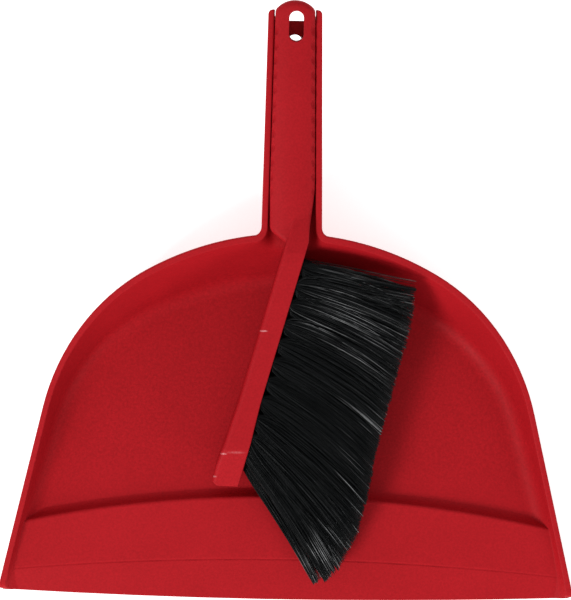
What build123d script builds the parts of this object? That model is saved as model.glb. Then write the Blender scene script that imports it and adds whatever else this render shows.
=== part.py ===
from build123d import *
import os
from math import sin, cos, tan, atan2, degrees, radians, sqrt

# Dustpan with its own hand brush stored in the channel of the pan's handle.
# Millimetres, +Z up. X runs across the pan, +Y from the lip to the handle.
# Origin: middle of the overall length and width, on the surface it rests on.

# ---------------------------------------------------------------- pan, driving dimensions
LENGTH = 321.725          # lip to the end of the brush handle, seen from above
Y_LIP = -LENGTH / 2       # front edge of the lip at the centre
WALL = 2.0                # moulded wall thickness
WALL_RUN = 2.12           # the same, measured level through a wall
SIDE_LEAN = 0.08          # outward run of the walls per unit of height, all round
BACK_LEAN = 0.42          # further run towards the handle, so the back wall slopes most
RIM_TILT = 10.0           # the rim and the handle rise backwards at this angle
RIM_FRONT = 6.5           # height of the rim at the lip
BASE_HALF_WIDTH = 156.22  # half width of the outer base outline at the lip
BASE_FLARE = 15.776       # flare of the base outline's sides, degrees
BASE_CORNER_R = 107.05    # corner arc of the base outline
BASE_BACK = 177.86        # base outline's back, from the lip
BASE_BACK_R = 165.38      # back arc of the base outline
FLOOR_R_OUT = 7.5         # rounding between floor and walls
FLOOR_R_IN = 10.0
BEAD_OUT = 0.9            # rim bead: overhang and depth
BEAD_DEEP = 2.6
BEAD_R_TOP, BEAD_R_LOW = 0.5, 0.5   # rounding of the bead's outer edges
RIM_R_IN = 0.4            # rounding of the rim's inner edge
HORN_R = 2.5              # rounding of the rim's ends beside the brush handle
JOIN_R = 5.0              # rounding where the handle meets the pan
WALL_END_R = 4.0          # rounding of the walls' front corners, seen from the side

LIP_BOW_R = 3450.0        # the lip bows forward a little
LIP_EDGE = 2.05           # thickness of the lip's edge
LIP_CORNER_R = 4.0
CREASE_Y, CREASE_R, CREASE_Z = 22.4, 1518.0, 4.7   # change of slope behind the lip
GROOVE_W, GROOVE_DEEP = 1.1, 0.3                   # fine groove along it
RIDGE_Y, RIDGE_R, RIDGE_Z = 56.8, 676.0, 7.5       # crest of the ramp
STEP_RUN = 3.4            # the step down behind the crest
RAMP_WALL = 2.1

# ---------------------------------------------------------------- handle channel
HANDLE_ROOT = 199.5       # rim line at the back of the pan, from the lip
CH_HALF_ROOT = 12.9       # half width of the channel at the rim, at the pan
CH_HALF_END = 10.85       # and at its far end
CH_WALL = 2.4
CH_DRAFT = 4.0
CH_DEEP = 6.9             # channel depth below the rim
CH_FLARE = 0.6            # chamfer of the channel's upper edges, growing from the pan to the far end
CH_END = 117.6            # far end of the rims, along the handle
CH_END_FLOOR = 112.5      # far end of the channel's floor
HANG_Y, HANG_D = 101.2, 8.0

# ---------------------------------------------------------------- brush
BRUSH_X = 0.0             # middle of the grip
BRUSH_Z = -2.6            # middle plane of the bristle block, below the rim
GRIP_Z = -1.0             # middle plane of the grip
GRIP_HALF_END = 10.4      # half width of the grip, far end and near the neck
GRIP_HALF_NECK = 12.0
GRIP_RX, GRIP_RZ = 12.7, 5.2   # half axes of the grip's oval section
GRIP_SIDE = 118.4         # where the domed end starts, and its tip
GRIP_TIP = 123.5
GRIP_EDGE_R = 3.0
SLOT_X, SLOT_W, SLOT_Y0, SLOT_Y1 = 0.7, 7.6, 102.2, 118.1
NOTCHES, NOTCH_PITCH, NOTCH_FIRST = 12, 7.7, 108.0   # finger scoops along all four edges
NOTCH_R, NOTCH_OUT, NOTCH_UP = 4.3, 2.0, 4.6         # radius and centre of a scoop, from the edge

BLOCK_SLANT = 15.5        # the bristle block leans this much off the handle's line
BLOCK_T = 11.5            # thickness, across the bristle face
BLOCK_HALF = 11.5         # half width
BLOCK_SLOPE = 1.0         # the block gets thinner towards the bristle face
BLOCK_FLAT0, BLOCK_FLAT1 = -1.0, -116.3    # flat faces, along the handle
NOSE_SLOPE = 0.281        # taper of the nose
NOSE_END = [(-41.0, -134.9), (-38.2, -137.7), (-27.3, -138.4)]   # its end in plan: cut corner, then straight
NOSE_WIDEN = [(-90, 0.0, 0.0), (-101, 0.5, 0.5), (-112, 0.9, 1.1), (-116.3, 1.2, 1.2), (-126, 1.9, 1.35),
              (-143, 0.9, 1.7)]            # y, extra width at the back and at the bristle side
NECK_TOP = 14.0           # where the block has run out into the grip
BLOCK_BACK_R = 2.0

TUFT_PITCH = 10.78
TUFT_FIRST = -16.4
ROW_PITCH, ROW_PITCH_END = 6.8, 5.8         # the outer rows close up at both ends
HOLE_D, HOLE_DEEP = 5.6, 8.4
TUFT_D = 5.4
HOLE_LEAN_MAX = 20.0
STAPLE_L, STAPLE_H, STAPLE_T = 6.4, 1.8, 0.4
STAPLE_FROM_BOTTOM = 1.6

# ================================================================ the pan


def _arc_centres():
    n = (cos(radians(BASE_FLARE)), sin(radians(BASE_FLARE)))
    d = (-n[1], n[0])
    c2 = (0.0, BASE_BACK - BASE_BACK_R)
    b = (BASE_HALF_WIDTH - BASE_CORNER_R * n[0], -BASE_CORNER_R * n[1])
    w = (b[0] - c2[0], b[1] - c2[1])
    B = 2 * (w[0] * d[0] + w[1] * d[1])
    C = w[0] ** 2 + w[1] ** 2 - (BASE_BACK_R - BASE_CORNER_R) ** 2
    t = (-B + sqrt(B * B - 4 * C)) / 2
    c1 = (b[0] + t * d[0], b[1] + t * d[1])
    return c1, c2, degrees(atan2(c1[1] - c2[1], c1[0] - c2[0]))


C1, C2, A1 = _arc_centres()


def base_outline(off, y_front):
    """Closed outline of the pan in plan, offset outwards, running past the lip."""
    def pol(c, r, a):
        return (c[0] + r * cos(radians(a)), c[1] + r * sin(radians(a)) + Y_LIP)

    def mx(p):
        return (-p[0], p[1])

    xf = BASE_HALF_WIDTH + off / cos(radians(BASE_FLARE)) - y_front * tan(radians(BASE_FLARE))
    f = (xf, y_front + Y_LIP)
    t1 = pol(C1, BASE_CORNER_R + off, BASE_FLARE)
    m1 = pol(C1, BASE_CORNER_R + off, (BASE_FLARE + A1) / 2)
    t2 = pol(C1, BASE_CORNER_R + off, A1)
    top = (0, BASE_BACK + off + Y_LIP)
    return make_face([Line(f, t1), ThreePointArc(t1, m1, t2), ThreePointArc(t2, top, mx(t2)),
                      ThreePointArc(mx(t2), mx(m1), mx(t1)), Line(mx(t1), mx(f)), Line(mx(f), f)])


def tub(off, z0, h, r):
    """Solid of the pan's plan outline from z0 up, widening and leaning back upwards, rounded below."""
    def at(z):
        return Pos(0, BACK_LEAN * z, z) * base_outline(off + SIDE_LEAN * z, -60)
    s = loft([at(z0).face(), at(z0 + h).face()], ruled=True)
    low = [e for e in s.edges().group_by(Axis.Z)[0] if e.center().Y > Y_LIP - 50]
    return fillet(low, r)


# frame of the rim plane at the root of the handle: local x = X, local y along the handle
RT = radians(RIM_TILT)
RIM = Plane(origin=(0, HANDLE_ROOT + Y_LIP, RIM_FRONT + HANDLE_ROOT * tan(RT)),
            x_dir=(1, 0, 0), z_dir=(0, -sin(RT), cos(RT)))


def on_rim(s):
    return RIM.location * s


def side_prism(pts, half_x):
    """Prism across X from points (y, z) of the rim frame."""
    f = make_face(Polyline([(y, z) for y, z in pts], close=True))
    p = Plane(origin=(-half_x, 0, 0), x_dir=(0, 1, 0), z_dir=(1, 0, 0))
    return extrude(p.location * f, amount=2 * half_x)


def ch_half(y):
    return CH_HALF_ROOT + (CH_HALF_END - CH_HALF_ROOT) * y / CH_END


def channel(extra, deep, floor_end, r, y_in, longer=0.0):
    """Solid of the handle's channel: drafted sides and a flat floor."""
    y_far = CH_END + longer if floor_end else CH_END + 40
    up = 30.0
    k = tan(radians(CH_DRAFT))
    depth = deep + 6
    w0, w1 = ch_half(y_in) + extra, ch_half(y_far) + extra
    # plan at the rim, sides leaning in below and out above
    low = Pos(0, 0, -depth) * make_face(Polyline([(-w0 + depth * k, y_in), (w0 - depth * k, y_in),
                                                  (w1 - depth * k, y_far), (-w1 + depth * k, y_far)], close=True))
    high = Pos(0, 0, up) * make_face(Polyline([(-w0 - up * k, y_in), (w0 + up * k, y_in),
                                               (w1 + up * k, y_far), (-w1 - up * k, y_far)], close=True))
    a = loft([low, high], ruled=True)
    if floor_end:
        s = (CH_END - CH_END_FLOOR) / CH_DEEP
        end = [(CH_END + longer - s * deep, -deep), (CH_END + longer + s * up, up)]
    else:
        end = [(y_far, -deep), (y_far, up)]
    b = side_prism([(y_in, up), (y_in, -deep)] + end, 60)
    s = a & b
    # round the long edges between floor and sides
    sel = []
    for e in s.edges():
        c = e.center()
        d = (e @ 1 - e @ 0).normalized()
        if abs(d.Y) > 0.7 and c.Z < -deep + 0.5 and abs(c.X) > 4:
            sel.append(e)
    return fillet(sel, r)


outer = tub(0, 0, 75, FLOOR_R_OUT)
inner = tub(-WALL_RUN, WALL, 75, FLOOR_R_IN)
ch_out = on_rim(channel(CH_WALL, CH_DEEP + WALL, True, 6.5, -26))
ch_in = on_rim(channel(0, CH_DEEP, False, 4.5, -24))


def joined(a, b, top, r):
    """Pan and channel as one solid up to a plane over the rim, with the junction rounded."""
    s = a + b - on_rim(Pos(0, 0, 100 + top) * Box(900, 1000, 200))
    sel = []
    for e in s.edges():
        c = RIM.to_local_coords(e.center())
        d = (RIM.to_local_coords(e @ 1) - RIM.to_local_coords(e @ 0)).normalized()
        if (abs(c.X) < 17 and e.geom_type in (GeomType.BSPLINE, GeomType.ELLIPSE)
                and -16.5 - WALL < c.Z < top - 0.5 and c.Y < 1 and abs(d.Y) < 0.9):
            sel.append(e)
    return fillet(sel, r)


outer_all = joined(outer, ch_out, 6, JOIN_R)
inner_all = joined(inner, ch_in, 6, JOIN_R + WALL)
above = on_rim(Pos(0, 0, 100) * Box(900, 1000, 200))
outer_cut = outer_all - above


# rim bead: a strip that overhangs the walls, all the way round and along the channel
bead_all = joined(tub(BEAD_OUT, 0, 75, FLOOR_R_OUT),
                  on_rim(channel(CH_WALL + BEAD_OUT, CH_DEEP + WALL, True, 6.5, -26, BEAD_OUT)),
                  6, JOIN_R - BEAD_OUT)
bead = bead_all & on_rim(Pos(0, 0, -BEAD_DEEP / 2) * Box(900, 1000, BEAD_DEEP))
rim_face = max((f for f in bead.faces() if max(abs(RIM.to_local_coords(v.center()).Z) for v in f.vertices()) < 0.01),
               key=lambda f: f.area)
bead = extrude(rim_face, amount=BEAD_DEEP, dir=-RIM.z_dir)


def level_edges(s, z):
    """Edges that lie in the plane at height z of the rim frame."""
    return [e for e in s.edges()
            if max(abs(RIM.to_local_coords(e @ t).Z - z) for t in (0, 0.25, 0.5, 0.75, 1)) < 0.02]


# rounded far corners, then the bead's outer edges
corners = []
for e in bead.edges():
    c = RIM.to_local_coords(e.center())
    d = (RIM.to_local_coords(e @ 1) - RIM.to_local_coords(e @ 0)).normalized()
    if 10 < abs(c.X) < 17 and c.Y > CH_END - 0.6 and abs(d.Z) > 0.5:
        corners.append(e)
bead = fillet(corners, HORN_R)
bead = fillet(level_edges(bead, 0), BEAD_R_TOP)
bead = fillet(level_edges(bead, -BEAD_DEEP), BEAD_R_LOW)
shell = outer_cut + bead - inner_all


def borders_cavity(e):
    """True where the cavity lies just beside and below the middle of the edge."""
    m, n = e @ 0.5, RIM.z_dir
    s = (e % 0.5).cross(n).normalized() * 0.3
    return any(inner_all.is_inside(m + s * k - n * 0.05, 1e-5) for k in (1, -1))


shell = fillet([e for e in level_edges(shell, 0) if borders_cavity(e)], RIM_R_IN)


# front ramp: sections across the pan, lofted from side to side
def sag(r, x):
    return r - sqrt(r * r - x * x)


def section_face(x, pts, rounds):
    f = make_face(Polyline(pts, close=True))
    for i, r in rounds:
        v = min(f.vertices(), key=lambda q: (q.X - pts[i][0]) ** 2 + (q.Y - pts[i][1]) ** 2)
        f = fillet(v, r)
    p = Plane(origin=(x, Y_LIP, 0), x_dir=(0, 1, 0), z_dir=(1, 0, 0))
    return (p.location * f).face()


def ramp_section(x):
    yl = sag(LIP_BOW_R, x)
    yc = CREASE_Y - sag(CREASE_R, x)
    yr = RIDGE_Y - sag(RIDGE_R, x)
    k = (CREASE_Z - LIP_EDGE) / (yc - yl)
    k2 = (RIDGE_Z - CREASE_Z) / (yr - yc)
    g = GROOVE_W / 2
    pts = [(yl - 6, -4), (yl - 6, LIP_EDGE - 6 * k), (yc - g, CREASE_Z - g * k), (yc, CREASE_Z - GROOVE_DEEP),
           (yc + g, CREASE_Z + g * k2), (yr, RIDGE_Z),
           (yr + STEP_RUN, WALL - 0.2), (yr + STEP_RUN + 7, WALL - 0.7), (yr + STEP_RUN + 7, -4)]
    return section_face(x, pts, [(2, 0.3), (3, 0.3), (4, 0.3), (5, 1.6), (6, 6.0)])


def hollow_section(x):
    yl = sag(LIP_BOW_R, x)
    yc = CREASE_Y - sag(CREASE_R, x)
    yr = RIDGE_Y - sag(RIDGE_R, x)
    k = (RIDGE_Z - WALL + 0.2) / STEP_RUN
    low = RIDGE_Z - RAMP_WALL * sqrt(1 + k * k)
    pts = [(yl + 7, -2), (yl + 7, 0.2), (yc + 0.5, CREASE_Z - RAMP_WALL), (yr - 0.9, RIDGE_Z - RAMP_WALL - 0.1),
           (yr + (low + 2) / k, -2)]
    return section_face(x, pts, [(3, 1.0)])


XS = [-172, -129, -86, -43, 0, 43, 86, 129, 172]
ramp = loft([ramp_section(x) for x in XS])
hollow = loft([hollow_section(x) for x in XS])
hollow = hollow & (Pos(0, 0, -5) * extrude(base_outline(-11.0, -60), amount=30))
body = shell + (ramp & outer_cut) - hollow

# the lip: everything ends on a shallow bow with rounded corners
side0 = 158.9
side_k = 0.24694
ye = sag(LIP_BOW_R, side0)
keep = [ThreePointArc((-side0, ye + Y_LIP), (0, Y_LIP), (side0, ye + Y_LIP)),
        Polyline((side0, ye + Y_LIP), (side0 - side_k * 150, 150 + Y_LIP), (300, 150 + Y_LIP), (300, 300),
                 (-300, 300), (-300, 150 + Y_LIP), (-side0 + side_k * 150, 150 + Y_LIP), (-side0, ye + Y_LIP))]
kf = make_face(keep)
kf = fillet([v for v in kf.vertices() if v.Y < Y_LIP + 10], LIP_CORNER_R)
body = body & extrude(kf, amount=200)

# the walls' front corners are rounded, seen from the side
wy = Y_LIP + sag(LIP_BOW_R, BASE_HALF_WIDTH + 5) + 0.2 + WALL_END_R
wz = RIM_FRONT + (wy - Y_LIP) * tan(RT) - WALL_END_R / cos(RT)
wall_round = Plane(origin=(-300, wy, wz), x_dir=(0, 1, 0), z_dir=(1, 0, 0)).location * extrude(
    Circle(WALL_END_R), amount=600)
y_from, y_to = wy - WALL_END_R - 20, wy - WALL_END_R * sin(RT) - 0.15
body = body - (Pos(0, (y_from + y_to) / 2, (wz + 60) / 2) * Box(600, y_to - y_from, 60 - wz) - wall_round)

# chamfered upper edges of the channel
fy0, fy1, fz = 6.0, CH_END + 20, 1.6
fw0, fw1 = ch_half(fy0), ch_half(fy1) + CH_FLARE * (fy1 - fy0) / (CH_END - fy0)
flare = loft([Pos(0, 0, z) * make_face(Polyline((-fw0 - z, fy0), (fw0 + z, fy0), (fw1 + z, fy1), (-fw1 - z, fy1), close=True))
              for z in (-fz, fz)], ruled=True)
body = body - on_rim(flare)

# hanging hole through the channel's floor
body = body - on_rim(Pos(0, HANG_Y, -CH_DEEP - 3) * Cylinder(HANG_D / 2, 14))
pan = body


# ================================================================ the brush, in the frame of the rim
SB, CB = sin(radians(BLOCK_SLANT)), cos(radians(BLOCK_SLANT))
KB = SB / CB


def block_x(y, side):
    """X of the block's middle line (side 0), bristle face (+1) or back (-1) at y along the handle."""
    return 3.16 + KB * (y + 3.42) + side * BLOCK_T / 2 / CB


def prism(face, z0, z1):
    return extrude(Pos(0, 0, z0) * face, amount=z1 - z0)


def rounded(pts, rounds):
    f = make_face(Polyline(pts, close=True))
    for x, y, r in rounds:
        f = fillet(min(f.vertices(), key=lambda q: (q.X - x) ** 2 + (q.Y - y) ** 2), r)
    return f


# grip and neck
xr, xl = BRUSH_X + GRIP_HALF_END, BRUSH_X - GRIP_HALF_END
nr, nl = BRUSH_X + GRIP_HALF_NECK, BRUSH_X - GRIP_HALF_NECK
grip_face = make_face([
    Polyline((xr, GRIP_SIDE), (nr, 24), (9.6, 4), (block_x(-3.4, 1) - 0.05, -3.4), (block_x(-9, 1) - 0.2, -9),
             (block_x(-9, -1) + 1.2, -9), (block_x(-4.5, -1) - 0.1, -4.5), (-11.7, 2.0), (nl, 24), (xl, GRIP_SIDE)),
    ThreePointArc((xl, GRIP_SIDE), (BRUSH_X, GRIP_TIP), (xr, GRIP_SIDE))])
for x, y, r in ((xr, GRIP_SIDE, 3.5), (xl, GRIP_SIDE, 3.5), (nr, 24, 90), (nl, 24, 90), (-11.7, 2.0, 5), (9.6, 4, 25)):
    grip_face = fillet(min(grip_face.vertices(), key=lambda q: (q.X - x) ** 2 + (q.Y - y) ** 2), r)
oval = Plane(origin=(BRUSH_X, -40, GRIP_Z), x_dir=(1, 0, 0), z_dir=(0, 1, 0)).location * Ellipse(GRIP_RX, GRIP_RZ)
grip = extrude(oval, amount=200) & prism(grip_face, -40, 40)
rim_edges = [e for e in grip.edges() if e.center().Y > -2 and abs(e.center().Z - GRIP_Z) > 1.5
             and e.geom_type != GeomType.LINE or e.center().Y > 5 and abs(e.center().Z - GRIP_Z) > 1.5]
grip = fillet(rim_edges, GRIP_EDGE_R)

# bristle block: sections along the handle; the neck runs out into the grip, the nose widens and tapers
bz, h = BRUSH_Z, BLOCK_HALF


def bar_face(y, x0, x1, z1, z0, k=1.0):
    """Section at y: x0 back, x1 bristle face, z1 top, z0 bottom; rounded at the back, less so where k is small."""
    s = BLOCK_SLOPE * k
    f = make_face(Polyline((x0, z0), (x1, z0 + s), (x1, z1 - s), (x0, z1), close=True))
    f = fillet([v for v in f.vertices() if v.X < x0 + 0.1], BLOCK_BACK_R * k)
    f = fillet([v for v in f.vertices() if v.X > x1 - 0.1], 0.7 * k)
    return (Plane(origin=(0, y, 0), x_dir=(1, 0, 0), z_dir=(0, -1, 0)).location * f).face()


def nose_face(y, e, f):
    d = NOSE_SLOPE * max(0.0, BLOCK_FLAT1 - y)
    return bar_face(y, block_x(y, -1) - e, block_x(y, 1) + f, bz + h - d, bz - h + d)


bar = loft([bar_face(NECK_TOP, block_x(NECK_TOP, -1), 9.3, 2.6, -5.8, 0.5),
            bar_face(4, block_x(4, -1), 9.4, 5.6, -6.0, 0.8),
            bar_face(-1, block_x(-1, -1), 9.2, 6.9, -6.0),
            bar_face(-3.4, block_x(-3.4, -1), block_x(-3.4, 1), 7.45, -6.0),
            bar_face(-7, block_x(-7, -1), block_x(-7, 1), 8.2, -6.0),
            bar_face(-9, block_x(-9, -1), block_x(-9, 1), 8.6, -6.9),
            bar_face(-12, block_x(-12, -1), block_x(-12, 1), 8.75, -11.0),
            bar_face(-14.6, block_x(-14.6, -1), block_x(-14.6, 1), bz + h, bz - h)]
           + [nose_face(y, e, f) for y, e, f in NOSE_WIDEN], ruled=True)
(x0, y0), (x1, y1), (x2, y2) = NOSE_END
k0, k1 = (y1 - y0) / (x1 - x0), (y2 - y1) / (x2 - x1)
bar = bar - prism(make_face(Polyline((-60, y0 + k0 * (-60 - x0)), (x1, y1), (20, y2 + k1 * (20 - x2)),
                                     (20, -260), (-60, -260), close=True)), -60, 60)
stock = grip + bar

# hanging slot and finger notches
slot = Pos(BRUSH_X + SLOT_X, (SLOT_Y0 + SLOT_Y1) / 2, GRIP_Z) * extrude(
    SlotOverall(SLOT_Y1 - SLOT_Y0, SLOT_W, rotation=90), amount=30, both=True)
cuts = [slot]
for i in range(NOTCHES):
    y = NOTCH_FIRST - i * NOTCH_PITCH
    w = GRIP_HALF_END + (GRIP_HALF_NECK - GRIP_HALF_END) * (GRIP_SIDE - y) / (GRIP_SIDE - 24)
    for sgn in (1, -1):
        for up in (1, -1):
            cuts.append(Pos(BRUSH_X + sgn * (w + NOTCH_OUT), y, GRIP_Z + up * NOTCH_UP) * Sphere(NOTCH_R))
stock = stock - cuts

# tufts: root line on the bristle face, tips fanned along the trimmed edge (x, y in the rim frame)
TIPS = [(66.5, -27.6), (64.3, -48.6), (60.0, -65.1), (56.6, -80.3), (53.0, -94.6), (49.8, -107.9),
        (46.6, -122.1), (44.4, -136.4), (40.8, -151.7), (34.6, -170.0), (23.0, -187.0), (11.6, -192.2)]
TIP_Z = {"upper": [5.2] * 7 + [6.2, 7.2, 7.8, 9.4, 9.4],
         "middle": [-2.3] * 7 + [-0.6, 1.4, 2.8, 5.4, 6.0],
         "lower": [-9.8] * 7 + [-8.6, -4.0, -1.8, 2.0, 2.0]}
ROW_SIDE = {"upper": 1, "middle": 0, "lower": -1}


def lerp(seq, t):
    i = min(int(t), len(seq) - 2)
    f = t - i
    a, b = seq[i], seq[i + 1]
    if isinstance(a, tuple):
        return tuple(p + (q - p) * f for p, q in zip(a, b))
    return a + (b - a) * f


def bristle_face_x(y):
    """X of the block's bristle face at y, with the widening of the nose."""
    f = 0.0
    for (ya, _, fa), (yb, _, fb) in zip(NOSE_WIDEN, NOSE_WIDEN[1:]):
        if yb <= y <= ya:
            f = fa + (fb - fa) * (y - ya) / (yb - ya)
    return block_x(y, 1) + f


tufts, staples, holes = {}, [], []
for row in ("upper", "middle", "lower"):
    shift = 0.5 if row == "middle" else 0.0
    for i in range(11):
        t = i + shift
        y = TUFT_FIRST - t * TUFT_PITCH * CB
        pitch = ROW_PITCH + (ROW_PITCH_END - ROW_PITCH) * max(0.0, t - 9, 1 - t)
        root = Vector(bristle_face_x(y), y, BRUSH_Z + ROW_SIDE[row] * pitch)
        tx, ty = lerp(TIPS, t)
        if row == "lower":          # the lowest row keeps clear of the back wall
            tx, ty = tx - max(0, 3.5 - 1.5 * t), ty - max(0, 14 - 7 * t)
        tip = Vector(tx, ty, lerp(TIP_Z[row], t))
        d = (tip - root).normalized()
        # lean of the hole in the block, limited
        face_n = Vector(CB, -SB, 0)
        along = Vector(-SB, -CB, 0)
        lean = degrees(atan2(d.dot(along), d.dot(face_n)))
        lean = max(-HOLE_LEAN_MAX, min(HOLE_LEAN_MAX, lean))
        if row == "lower":          # the first holes of the lowest row stay square, clear of the neck's underside
            lean *= min(1.0, t / 2)
        hz = face_n * cos(radians(lean)) + along * sin(radians(lean))
        hx = Vector(0, 0, 1).cross(hz)
        hole = Plane(origin=root, x_dir=hx, z_dir=hz)
        holes.append(hole.location * (Pos(0, 0, (4 - HOLE_DEEP) / 2) * Cylinder(HOLE_D / 2, HOLE_DEEP + 4)))
        staple = hole.location * (Pos(0, 0, -HOLE_DEEP + STAPLE_FROM_BOTTOM) * Box(STAPLE_L, STAPLE_T, STAPLE_H))
        bend = root + hz * 1.2
        dt = (tip - bend).normalized()
        tx_dir = Vector(0, 0, 1).cross(dt).normalized()
        low = hole.location * (Pos(0, 0, -HOLE_DEEP + 0.15) * Circle(TUFT_D / 2))
        mid = hole.location * (Pos(0, 0, 1.2) * Circle(TUFT_D / 2))
        far = Plane(origin=tip, x_dir=tx_dir, z_dir=dt).location * Ellipse(5.0 - 1.9 * max(0.0, min(1.0, t - 9)), 3.05)
        tuft = loft([low.face(), mid.face(), far.face()], ruled=True) - staple
        tufts["tuft_%s_%02d" % (row, i + 1)] = tuft
        staples.append(staple)
stock = stock - holes - staples

# ================================================================ files
os.makedirs("parts", exist_ok=True)
export_step(pan, "parts/pan_body.step")
export_step(on_rim(stock), "parts/brush_stock.step")
for name, t in tufts.items():
    export_step(on_rim(t), "parts/%s.step" % name)
export_step(Compound(children=[on_rim(q).solid() for q in staples]), "parts/tuft_staples.step")
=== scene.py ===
import math

import bpy
import numpy as np
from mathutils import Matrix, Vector


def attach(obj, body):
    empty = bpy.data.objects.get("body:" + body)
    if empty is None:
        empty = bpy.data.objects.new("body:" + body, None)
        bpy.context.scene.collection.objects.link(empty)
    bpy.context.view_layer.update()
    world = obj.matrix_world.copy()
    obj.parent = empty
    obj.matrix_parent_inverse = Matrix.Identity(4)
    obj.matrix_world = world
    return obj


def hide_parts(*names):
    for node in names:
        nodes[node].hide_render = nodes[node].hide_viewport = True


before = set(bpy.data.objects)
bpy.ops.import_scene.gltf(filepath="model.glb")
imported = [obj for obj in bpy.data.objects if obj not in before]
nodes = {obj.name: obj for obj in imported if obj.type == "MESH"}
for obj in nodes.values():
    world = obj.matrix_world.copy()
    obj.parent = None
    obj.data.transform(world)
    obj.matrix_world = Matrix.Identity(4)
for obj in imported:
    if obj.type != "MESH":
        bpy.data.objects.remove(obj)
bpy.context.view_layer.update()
scene = bpy.context.scene

# ---------------------------------------------------------------- camera: straight down, as in the photograph
IMG_W, IMG_H = 571, 600
cam_data = bpy.data.cameras.new("camera")
cam = bpy.data.objects.new("camera", cam_data)
scene.collection.objects.link(cam)
cam_data.sensor_width = 36.0
cam_data.lens = 2272.33 * 36.0 / IMG_H
cam.location = (-0.0027, 0.003595, 1.25)
cam.rotation_euler = (0.0, 0.0, math.radians(0.95))
cam_data.clip_start, cam_data.clip_end = 0.05, 20.0
scene.camera = cam
scene.view_settings.view_transform = "Standard"


# ---------------------------------------------------------------- node helpers
def new_mat(name):
    m = bpy.data.materials.new(name)
    m.use_nodes = True
    t = m.node_tree
    t.nodes.clear()
    out = t.nodes.new("ShaderNodeOutputMaterial")
    bsdf = t.nodes.new("ShaderNodeBsdfPrincipled")
    t.links.new(bsdf.outputs["BSDF"], out.inputs["Surface"])
    return m, t, bsdf


def add(t, kind, **kw):
    n = t.nodes.new(kind)
    for k, v in kw.items():
        setattr(n, k, v)
    return n


def link(t, a, b):
    t.links.new(a, b)


def noise(t, vec, scale, detail=2.0, rough=0.5, dist=0.0):
    n = add(t, "ShaderNodeTexNoise")
    n.inputs["Scale"].default_value = scale
    n.inputs["Detail"].default_value = detail
    n.inputs["Roughness"].default_value = rough
    n.inputs["Distortion"].default_value = dist
    link(t, vec, n.inputs["Vector"])
    return n.outputs["Fac"]


def ramp(t, fac, stops):
    n = add(t, "ShaderNodeValToRGB")
    r = n.color_ramp
    while len(r.elements) < len(stops):
        r.elements.new(0.5)
    for e, (p, c) in zip(r.elements, stops):
        e.position = p
        e.color = c if len(c) == 4 else (*c, 1.0)
    link(t, fac, n.inputs["Fac"])
    return n.outputs["Color"]


def grey(v):
    return (v, v, v, 1.0)


def math_node(t, op, a, b=None, clamp=False):
    n = add(t, "ShaderNodeMath", operation=op, use_clamp=clamp)
    for i, v in enumerate((a, b)):
        if v is None:
            continue
        if isinstance(v, (int, float)):
            n.inputs[i].default_value = v
        else:
            link(t, v, n.inputs[i])
    return n.outputs[0]


def mix_col(t, fac, a, b, mode="MIX"):
    n = add(t, "ShaderNodeMix", data_type="RGBA", blend_type=mode)
    for sock, v in ((n.inputs["Factor"], fac), (n.inputs["A"], a), (n.inputs["B"], b)):
        if isinstance(v, (int, float)):
            sock.default_value = v
        elif isinstance(v, tuple):
            sock.default_value = v if len(v) == 4 else (*v, 1.0)
        else:
            link(t, v, sock)
    return n.outputs["Result"]


def mapping(t, vec, scale, rot=(0, 0, 0), loc=(0, 0, 0)):
    n = add(t, "ShaderNodeMapping")
    n.inputs["Scale"].default_value = scale
    n.inputs["Rotation"].default_value = rot
    n.inputs["Location"].default_value = loc
    link(t, vec, n.inputs["Vector"])
    return n.outputs["Vector"]


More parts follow.
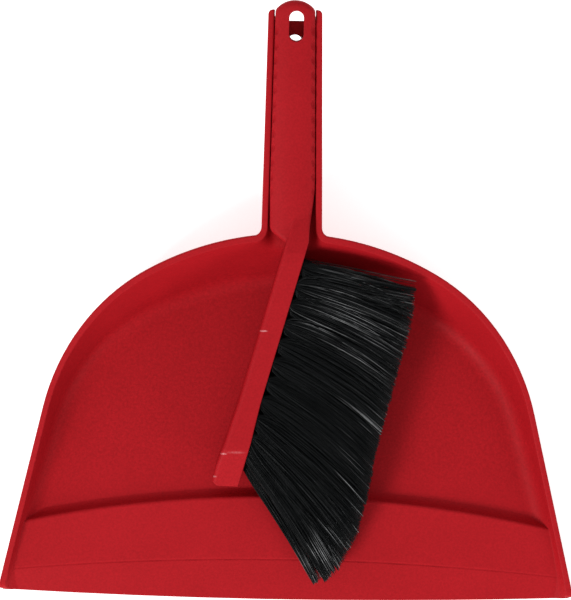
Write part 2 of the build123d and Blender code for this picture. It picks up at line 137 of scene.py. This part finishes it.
# ---------------------------------------------------------------- red moulded plastic
def red_plastic(name, seed, scratch_rot, tint=1.0, edge_wear_highlight=0.55, grainy=False, highlight_marks=()):
    m, t, b = new_mat(name)
    co = add(t, "ShaderNodeTexCoord").outputs["Object"]
    p = mapping(t, co, (1, 1, 1), loc=(seed, seed * 0.7, 0))

    # colour: slow mottling, fine speckle, and lighter edges and creases that are partly wear and partly painted
    # highlight
    slow = noise(t, p, 26.0, 4.0, 0.55)
    speck = noise(t, p, 900.0, 3.0, 0.6)
    base = ramp(t, slow, [(0.30, (0.352 * tint, 0.0068, 0.0110)), (0.70, (0.378 * tint, 0.0076, 0.0124))])
    speck_c = ramp(t, speck, [(0.35, grey(0.90)), (0.65, grey(1.07))])
    base = mix_col(t, 1.0, base, speck_c, "MULTIPLY")
    coarse = None
    if grainy:
        xyz = add(t, "ShaderNodeSeparateXYZ")
        link(t, co, xyz.inputs["Vector"])
        behind = math_node(t, "MULTIPLY", math_node(t, "ADD", xyz.outputs["Y"], 0.110), 40.0, clamp=True)
        below = math_node(t, "MULTIPLY", math_node(t, "SUBTRACT", 0.034, xyz.outputs["Z"]), 45.0, clamp=True)
        area = math_node(t, "MULTIPLY", behind, below)
        coarse = math_node(t, "MULTIPLY", noise(t, p, 620.0, 2.0, 0.65), area)
        dots = ramp(t, noise(t, p, 560.0, 2.0, 0.65), [(0.34, grey(0.91)), (0.66, grey(1.065))])
        base = mix_col(t, area, base, mix_col(t, 1.0, base, dots, "MULTIPLY"))

    # lighter edges and creases found from the bevel normal, broken into patches: partly edge wear, partly painted
    # highlight where edges and creases catch the light
    bevel = add(t, "ShaderNodeBevel", samples=6)
    bevel.inputs["Radius"].default_value = 0.0010
    geo = add(t, "ShaderNodeNewGeometry")
    dot = add(t, "ShaderNodeVectorMath", operation="DOT_PRODUCT")
    link(t, bevel.outputs["Normal"], dot.inputs[0])
    link(t, geo.outputs["Normal"], dot.inputs[1])
    edge = ramp(t, dot.outputs["Value"], [(0.90, grey(1.0)), (0.995, grey(0.0))])
    wear_highlight_patches = ramp(t, noise(t, p, 140.0, 3.0, 0.6), [(0.40, grey(0.0)), (0.72, grey(edge_wear_highlight))])
    edge = math_node(t, "MULTIPLY", edge, wear_highlight_patches)
    base = mix_col(t, edge, base, (0.46, 0.022, 0.030))

    # long thin scratches, two directions
    s1 = noise(t, mapping(t, p, (1600, 26, 300), rot=(0, 0, scratch_rot)), 1.0, 2.0, 0.5)
    s2 = noise(t, mapping(t, p, (24, 1500, 300), rot=(0, 0, scratch_rot + 0.5)), 1.0, 2.0, 0.5)
    sc = math_node(t, "ADD", ramp(t, s1, [(0.70, grey(0.0)), (0.78, grey(1.0))]),
                   ramp(t, s2, [(0.72, grey(0.0)), (0.80, grey(1.0))]), clamp=True)
    patch = ramp(t, noise(t, p, 16.0, 2.0, 0.5), [(0.45, grey(0.0)), (0.70, grey(1.0))])
    sc = math_node(t, "MULTIPLY", sc, patch)
    base = mix_col(t, math_node(t, "MULTIPLY", sc, 0.30), base, (0.42, 0.014, 0.020))
    # single marks of painted highlight on the brush's edges: centre, half length, half width, turn
    for (x, y, z), long, wide, turn, amount in highlight_marks:
        v = add(t, "ShaderNodeVectorMath", operation="SUBTRACT")
        link(t, co, v.inputs[0])
        v.inputs[1].default_value = (x, y, z)
        q = mapping(t, v.outputs["Vector"], (1 / long, 1 / wide, 80.0), rot=(0, 0, -turn))
        ln = add(t, "ShaderNodeVectorMath", operation="LENGTH")
        link(t, q, ln.inputs[0])
        mark = ramp(t, ln.outputs["Value"], [(0.35, grey(amount)), (1.0, grey(0.0))])
        highlight_breakup = ramp(t, noise(t, p, 1100.0, 2.0, 0.6), [(0.35, grey(0.25)), (0.60, grey(1.0))])
        base = mix_col(t, math_node(t, "MULTIPLY", mark, highlight_breakup), base, (0.62, 0.26, 0.27))
    link(t, base, b.inputs["Base Color"])

    rough = ramp(t, noise(t, p, 60.0, 4.0, 0.6), [(0.30, grey(0.50)), (0.75, grey(0.62))])
    rough = mix_col(t, math_node(t, "MULTIPLY", sc, 0.5), rough, grey(0.62))
    link(t, rough, b.inputs["Roughness"])
    b.inputs["Specular IOR Level"].default_value = 0.07

    # surface: fine moulded grain and a faint unevenness
    grain = noise(t, p, 1500.0, 2.0, 0.6)
    wave = noise(t, p, 70.0, 2.0, 0.5)
    bump1 = add(t, "ShaderNodeBump")
    bump1.inputs["Strength"].default_value = 0.22
    bump1.inputs["Distance"].default_value = 0.0002
    link(t, grain, bump1.inputs["Height"])
    link(t, bevel.outputs["Normal"], bump1.inputs["Normal"])
    bump2 = add(t, "ShaderNodeBump")
    bump2.inputs["Strength"].default_value = 0.12
    bump2.inputs["Distance"].default_value = 0.0008
    link(t, wave, bump2.inputs["Height"])
    link(t, bump1.outputs["Normal"], bump2.inputs["Normal"])
    last = bump2
    if coarse is not None:
        last = add(t, "ShaderNodeBump")
        last.inputs["Strength"].default_value = 0.12
        last.inputs["Distance"].default_value = 0.0003
        link(t, coarse, last.inputs["Height"])
        link(t, bump2.outputs["Normal"], last.inputs["Normal"])
    link(t, last.outputs["Normal"], b.inputs["Normal"])
    return m


def steel():
    m, t, b = new_mat("staple_steel")
    co = add(t, "ShaderNodeTexCoord").outputs["Object"]
    n = noise(t, mapping(t, co, (900, 900, 60)), 1.0, 3.0, 0.6)
    link(t, ramp(t, n, [(0.3, (0.42, 0.42, 0.43)), (0.7, (0.60, 0.60, 0.61))]), b.inputs["Base Color"])
    link(t, ramp(t, n, [(0.3, grey(0.28)), (0.7, grey(0.45))]), b.inputs["Roughness"])
    b.inputs["Metallic"].default_value = 1.0
    return m


def bristle():
    m, t, b = new_mat("bristle_filament")
    at = add(t, "ShaderNodeAttribute", attribute_name="strand")
    sep = add(t, "ShaderNodeSeparateColor")
    link(t, at.outputs["Color"], sep.inputs["Color"])
    one, along, bright = sep.outputs["Red"], sep.outputs["Green"], sep.outputs["Blue"]
    base = ramp(t, one, [(0.0, (0.0014, 0.0021, 0.0024)), (0.6, (0.0030, 0.0038, 0.0042)), (1.0, (0.0050, 0.0058, 0.0062))])
    # painted glints: light grey streaks on some filaments, over a stretch of their length, standing in for their
    # specular highlights
    away = math_node(t, "ABSOLUTE", math_node(t, "SUBTRACT", along, at.outputs["Alpha"]))
    reach = math_node(t, "ADD", math_node(t, "MULTIPLY", one, 0.36), 0.07)
    part = ramp(t, math_node(t, "DIVIDE", away, reach), [(0.15, grey(1.0)), (1.0, grey(0.0))])
    co = add(t, "ShaderNodeTexCoord").outputs["Object"]
    breaks = ramp(t, noise(t, co, 260.0, 2.0, 0.5), [(0.36, grey(0.60)), (0.60, grey(1.0))])
    part = math_node(t, "MULTIPLY", part, breaks)
    base = mix_col(t, math_node(t, "MULTIPLY", bright, part), base, (0.300, 0.305, 0.310))
    dust = ramp(t, noise(t, co, 420.0, 3.0, 0.6), [(0.55, grey(0.0)), (0.80, grey(0.20))])
    base = mix_col(t, dust, base, (0.018, 0.018, 0.018))
    link(t, base, b.inputs["Base Color"])
    link(t, ramp(t, one, [(0.0, grey(0.55)), (0.80, grey(0.42)), (1.0, grey(0.25))]), b.inputs["Roughness"])
    b.inputs["Specular IOR Level"].default_value = 0.12
    return m


RED_PAN = red_plastic("red_plastic_pan", 0.0, 0.15, edge_wear_highlight=0.2, grainy=True)
# the 0.95 factor darkens the whole brush's red below the pan's: painted shade, so that its block reads darker under
# the light
RED_BRUSH = red_plastic("red_plastic_brush", 3.1, 1.2, 0.95, highlight_marks=[
    # painted highlights: a tick on the block's left edge, and glints along the nose's top crease and at its lower
    # left corner
    ((-0.0141, -0.0131, 0.0414), 0.0027, 0.0006, -0.18, 0.9),
    ((-0.0347, -0.0796, 0.0296), 0.0023, 0.0007, 1.25, 0.8),
    ((-0.0280, -0.0788, 0.0296), 0.0060, 0.0009, 0.0, 0.22),
    ((-0.0398, -0.0924, 0.0240), 0.0018, 0.0007, -0.4, 0.55)])
STEEL = steel()
BRISTLE = bristle()


def give(obj, mat):
    if not obj.material_slots:
        obj.data.materials.append(mat)
    for s in obj.material_slots:
        s.material = mat


give(nodes["pan_body"], RED_PAN)
give(nodes["brush_stock"], RED_BRUSH)
give(nodes["tuft_staples"], STEEL)

# ---------------------------------------------------------------- bristles: every tuft as its own bundle of filaments
# frame of the rim plane, in which the brush lies (mm)
TILT = math.radians(10.0)
RIM_O = np.array((0.0, 38.6375, 41.677))
RIM_X = np.array((1.0, 0.0, 0.0))
RIM_Y = np.array((0.0, math.cos(TILT), math.sin(TILT)))
RIM_Z = np.array((0.0, -math.sin(TILT), math.cos(TILT)))
SLANT = math.radians(15.5)
SB, CB = math.sin(SLANT), math.cos(SLANT)
BLOCK_T, PITCH, FIRST, HOLE_DEEP = 11.5, 10.78, -16.4, 8.4
ROW_SIDE = {"upper": 1, "middle": 0, "lower": -1}
TIPS = [(66.5, -27.6), (64.3, -48.6), (60.0, -65.1), (56.6, -80.3), (53.0, -94.6), (49.8, -107.9),
        (46.6, -122.1), (44.4, -136.4), (40.8, -151.7), (34.6, -170.0), (23.0, -187.0), (11.6, -192.2)]
TIP_Z = {"upper": [5.2] * 7 + [6.2, 7.2, 7.8, 9.4, 9.4],
         "middle": [-2.3] * 7 + [-0.6, 1.4, 2.8, 5.4, 6.0],
         "lower": [-9.8] * 7 + [-8.6, -4.0, -1.8, 2.0, 2.0]}
# how many streaks of painted glint a tuft shows
STREAKS = [1.7, 1.7, 1.5, 1.1, 0.7, 0.4, 0.3, 0.25, 0.4, 1.1, 2.0, 2.0]
FILAMENTS, RINGS, SIDES, FIL_R = 190, 11, 4, 0.17


def lerp(seq, t):
    i = min(int(t), len(seq) - 2)
    a, b = np.array(seq[i], float), np.array(seq[i + 1], float)
    return a + (b - a) * (t - i)


def unit(v):
    return v / np.linalg.norm(v)


def block_face_x(y):
    out = np.interp(-y, (90, 101, 112, 116.3, 126, 143), (0.0, 0.5, 1.1, 1.2, 1.35, 1.7))
    return 3.16 + SB / CB * (y + 3.42) + BLOCK_T / 2 / CB + float(out)


def disc(rng, n):
    """n points spread evenly over a unit disc, with a little jitter."""
    k = np.arange(n) + 0.5
    r = np.sqrt(k / n)
    a = k * 2.399963 + rng.uniform(0, 6.28)
    p = np.stack([r * np.cos(a), r * np.sin(a)], 1)
    p += rng.normal(0, 0.035, p.shape)
    q = np.linalg.norm(p, axis=1, keepdims=True)
    return np.where(q > 1, p / q, p)


def tuft_mesh(row, i, seed):
    rng = np.random.default_rng(seed)
    t = i + (0.5 if row == "middle" else 0.0)
    y = FIRST - t * PITCH * CB
    root = np.array((block_face_x(y), y, -2.6 + ROW_SIDE[row] * (6.8 - 1.0 * max(0.0, t - 9, 1 - t))))
    tx, ty = lerp(TIPS, t)
    if row == "lower":
        tx, ty = tx - max(0, 3.5 - 1.5 * t), ty - max(0, 14 - 7 * t)
    tip = np.array((tx, ty, float(lerp(TIP_Z[row], t))))
    face_n, along = np.array((CB, -SB, 0.0)), np.array((-SB, -CB, 0.0))
    d = unit(tip - root)
    lean = math.atan2(d @ along, d @ face_n)
    lean = max(-math.radians(20), min(math.radians(20), lean))
    if row == "lower":
        lean *= min(1.0, t / 2)
    hz = face_n * math.cos(lean) + along * math.sin(lean)
    hx = unit(np.cross((0, 0, 1.0), hz))
    hy = np.cross(hz, hx)
    dt = unit(tip - (root + hz * 1.2))
    ex = unit(np.cross((0, 0, 1.0), dt))
    ey = np.cross(dt, ex)
    length = np.linalg.norm(tip - root)

    # room for this tuft along the trimmed edge
    t0, t1 = max(0.0, t - 1), min(len(TIPS) - 1.0, t + 1)
    room = abs((lerp(TIPS, t1) - lerp(TIPS, t0)) @ ex[:2]) / (t1 - t0)
    half = max(4.6, 0.62 * room)
    edge = unit(lerp(TIPS, t1) - lerp(TIPS, t0))
    trim = (edge @ dt[:2]) / (edge @ ex[:2])
    trim = max(-0.9, min(0.9, trim))

    n = FILAMENTS
    p = disc(rng, n)
    # spread over a flat bundle at the tips, drawn into many fine strands
    q = p / np.maximum(1e-6, np.abs(p).max(1, keepdims=True)) * np.linalg.norm(p, axis=1, keepdims=True)
    clumps = rng.uniform(-1, 1, (26, 2))
    which = np.argmin(((q[:, None] - clumps[None]) ** 2).sum(2), axis=1)
    q = q * 0.84 + clumps[which] * 0.16 + rng.normal(0, 0.05, p.shape)
    stray = rng.random(n) < 0.04
    q[stray] += rng.normal(0, 0.25, (stray.sum(), 2))
    q = np.clip(q, -1.15, 1.15)
    side = half * q[:, :1]
    if t == 0:
        side = np.where(side > 0, np.where(rng.random((n, 1)) < 0.07, 5.5, -0.3) * side / half, side)
    if t == 0.5:
        side = np.minimum(side, 8.5)
    if t >= 10:
        side = np.where(side < 0, side * 2.6 / half, side)

    low = root + (p[:, :1] * hx + p[:, 1:] * hy) * 2.35 - hz * (HOLE_DEEP - 2.2)
    mouth = root + (p[:, :1] * hx + p[:, 1:] * hy) * 2.45
    cut = rng.normal(0, 0.5, n) - np.abs(rng.normal(0, 0.9, n)) * (rng.random(n) < 0.2) * 2.0
    end = tip + side * (ex + dt * trim) + q[:, 1:] * ey * 2.6 + dt * (np.minimum(cut, 0.9) - 0.4)[:, None]
    # they droop towards the nose along their length
    bend = math.radians(float(np.interp(t, (0, 0.5, 1, 3, 5, 8, 11), (-1.0, 3.0, 7.0, 10.0, 9.0, 6.0, 3.0))))
    d_start = dt * math.cos(bend) + ex * math.sin(bend)
    d_end = dt * math.cos(bend) - ex * math.sin(bend)
    ctrl1 = mouth + d_start * length * 0.33 + q[:, 1:] * ey * 0.5
    ctrl2 = end - side * ex - d_end * length * 0.36
    last = end - side * ex
    s = np.array((0.0, 0.04, 0.10, 0.18, 0.28, 0.40, 0.53, 0.67, 0.83, 1.0))
    bez = ((1 - s) ** 3)[None, :, None] * mouth[:, None] + (3 * (1 - s) ** 2 * s)[None, :, None] * ctrl1[:, None] \
        + (3 * (1 - s) * s ** 2)[None, :, None] * ctrl2[:, None] + (s ** 3)[None, :, None] * last[:, None]
    # the bundle opens soon after it leaves the block
    opened = np.interp(s, (0.0, 0.04, 0.10, 0.18, 0.28, 0.40, 0.53, 0.67, 0.83, 1.0),
                       (0.0, 0.32, 0.49, 0.62, 0.72, 0.81, 0.885, 0.94, 0.98, 1.0))
    bez += opened[None, :, None] * (side * ex)[:, None]
    # slight waviness of each filament
    ph = rng.uniform(0, 6.28, (n, 1))
    amp = rng.normal(0, 0.28, (n, 1)) * np.sin(s * math.pi)[None]
    bez += (amp * np.sin(s[None] * 7.0 + ph))[:, :, None] * ex
    amp2 = rng.normal(0, 0.16, (n, 1)) * np.sin(s * math.pi)[None]
    bez += (amp2 * np.cos(s[None] * 6.0 + ph))[:, :, None] * ey
    path = np.concatenate([low[:, None], bez], 1)                       # n, RINGS, 3

    tang = np.gradient(path, axis=1)
    tang /= np.linalg.norm(tang, axis=2, keepdims=True)
    up = np.array((0.05, 0.02, 1.0))
    sx = np.cross(up[None, None], tang)
    sx /= np.linalg.norm(sx, axis=2, keepdims=True)
    sy = np.cross(tang, sx)
    ang = np.arange(SIDES) / SIDES * 2 * math.pi
    spin = rng.uniform(0, 6.28, (n, 1, 1))
    taper = np.ones(RINGS)
    taper[-1] = 0.62
    rad = FIL_R * rng.uniform(0.86, 1.12, (n, 1, 1)) * taper[None, :, None]
    ring = rad[..., None] * (np.cos(ang[None, None] + spin)[..., None] * sx[:, :, None]
                             + np.sin(ang[None, None] + spin)[..., None] * sy[:, :, None])
    v = (path[:, :, None] + ring).reshape(-1, 3)
    v = RIM_O + v[:, :1] * RIM_X + v[:, 1:2] * RIM_Y + v[:, 2:] * RIM_Z

    # faces: tube walls and a cap at both ends
    base = (np.arange(n) * RINGS * SIDES)[:, None, None]
    r = (np.arange(RINGS - 1) * SIDES)[None, :, None]
    k = np.arange(SIDES)[None, None]
    k2 = (k + 1) % SIDES
    quads = np.stack([base + r + k, base + r + k2, base + r + SIDES + k2, base + r + SIDES + k], -1).reshape(-1, 4)
    b0 = np.arange(n)[:, None] * RINGS * SIDES
    caps0 = b0 + np.arange(SIDES)[::-1][None]
    caps1 = b0 + (RINGS - 1) * SIDES + np.arange(SIDES)[None]
    faces = np.concatenate([quads, caps0, caps1])

    name = "bristles_%s_%02d" % (row, i + 1)
    me = bpy.data.meshes.new(name)
    me.from_pydata((v * 0.001).tolist(), [], faces.tolist())
    # one value per filament, place along it, how strong its painted glint is, and where
    more = float(lerp(STREAKS, t))
    bunches = float(np.interp(t, (0, 3, 4, 6, 8, 9), (0.26, 0.24, 0.14, 0.06, 0.04, 0.18)))
    glint_strands = (rng.random(len(clumps)) < bunches * more)[which] & (rng.random(n) < 0.38)
    glint_strands |= rng.random(n) < 0.010 + 0.11 * more
    # every filament of the top tufts gets a faint painted sheen; the chosen glint strands get a stronger painted
    # glint
    pale = np.where(glint_strands, rng.uniform(0.22, 1.0, n) ** 1.5, 0.035 * max(0.0, min(1.0, (4.5 - t) / 3)))
    one = rng.random(n)
    if t < 4:
        where = rng.uniform(0.22, 0.95, n)
        one = np.where(glint_strands, 0.25 + 0.75 * one, one)
    elif t < 8:
        where = rng.uniform(0.70, 1.08, n)
    else:
        where = rng.uniform(0.80, 1.00, n)
        one = np.where(glint_strands, 0.30 * one, one)
        pale = np.where(glint_strands, np.minimum(1.0, pale * 1.5), pale)
    per = RINGS * SIDES
    al = np.tile(np.repeat(np.concatenate(([0.0], 0.06 + 0.94 * s)), SIDES), n)
    col = np.stack([np.repeat(one, per), al, np.repeat(pale, per), np.repeat(where, per)], 1).astype(np.float32)
    attr = me.color_attributes.new("strand", "FLOAT_COLOR", "POINT")
    attr.data.foreach_set("color", col.ravel())
    # one narrow strip of the map per filament
    uv = me.uv_layers.new(name="OFBake")
    li = np.zeros(len(me.loops), np.int32)
    me.loops.foreach_get("vertex_index", li)
    fil = li // (RINGS * SIDES)
    rg = (li % (RINGS * SIDES)) // SIDES
    sd = li % SIDES
    polys = np.repeat(np.arange(len(faces)), 4)
    side0 = np.tile(np.arange(SIDES), n * (RINGS - 1))
    u_side = sd.astype(float)
    wall = polys < len(quads)
    first = np.zeros(len(li))
    first[wall] = side0[polys[wall]]
    u_side = np.where(wall & (sd == 0) & (first == SIDES - 1), SIDES, u_side)
    u = (fil + 0.1 + 0.8 * u_side / SIDES) / n
    w = rg / (RINGS - 1) * 0.96 + 0.02
    uv.data.foreach_set("uv", np.stack([u, w], 1).astype(np.float32).ravel())
    me.polygons.foreach_set("use_smooth", [True] * len(me.polygons))
    me.update()
    o = bpy.data.objects.new(name, me)
    scene.collection.objects.link(o)
    give(o, BRISTLE)
    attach(o, "brush")
    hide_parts("tuft_%s_%02d" % (row, i + 1))
    return o


seed = 100
for row, count in (("upper", 11), ("middle", 11), ("lower", 11)):
    for i in range(count):
        seed += 1
        tuft_mesh(row, i, seed)

# ---------------------------------------------------------------- stage: pale floor and soft light
fm, ft, fb = new_mat("pale_floor")
fco = add(ft, "ShaderNodeTexCoord").outputs["Object"]
link(ft, ramp(ft, noise(ft, fco, 3.0, 3.0, 0.5), [(0.3, grey(0.94)), (0.7, grey(0.96))]), fb.inputs["Base Color"])
fb.inputs["Roughness"].default_value = 0.9
fb.inputs["Specular IOR Level"].default_value = 0.1
fb.inputs["Emission Color"].default_value = (1.0, 1.0, 1.0, 1.0)
fb.inputs["Emission Strength"].default_value = 0.56
fme = bpy.data.meshes.new("floor")
fme.from_pydata([(-6, -6, -0.0003), (6, -6, -0.0003), (6, 6, -0.0003), (-6, 6, -0.0003)], [], [(0, 1, 2, 3)])
floor = bpy.data.objects.new("floor", fme)
scene.collection.objects.link(floor)
fme.materials.append(fm)


def area_light(name, loc, target, size, energy, colour=(1, 1, 1)):
    d = bpy.data.lights.new(name, "AREA")
    d.shape = "RECTANGLE"
    d.size, d.size_y = size
    d.energy = energy
    d.color = colour
    o = bpy.data.objects.new(name, d)
    scene.collection.objects.link(o)
    o.location = loc
    o.rotation_euler = (Vector(target) - Vector(loc)).to_track_quat("-Z", "Y").to_euler()
    return o


area_light("key", (-1.40, -1.60, 1.60), (0, 0, 0.02), (0.8, 0.8), 50.0)
area_light("fill", (1.60, -1.75, 0.80), (0, 0, 0.02), (0.8, 0.8), 14.0)

world = bpy.data.worlds.new("studio")
scene.world = world
world.use_nodes = True
wt = world.node_tree
wt.nodes.clear()
wo = wt.nodes.new("ShaderNodeOutputWorld")
wb = wt.nodes.new("ShaderNodeBackground")
wb.inputs["Color"].default_value = (1.0, 1.0, 1.0, 1.0)
wb.inputs["Strength"].default_value = 0.66
wt.links.new(wb.outputs["Background"], wo.inputs["Surface"])
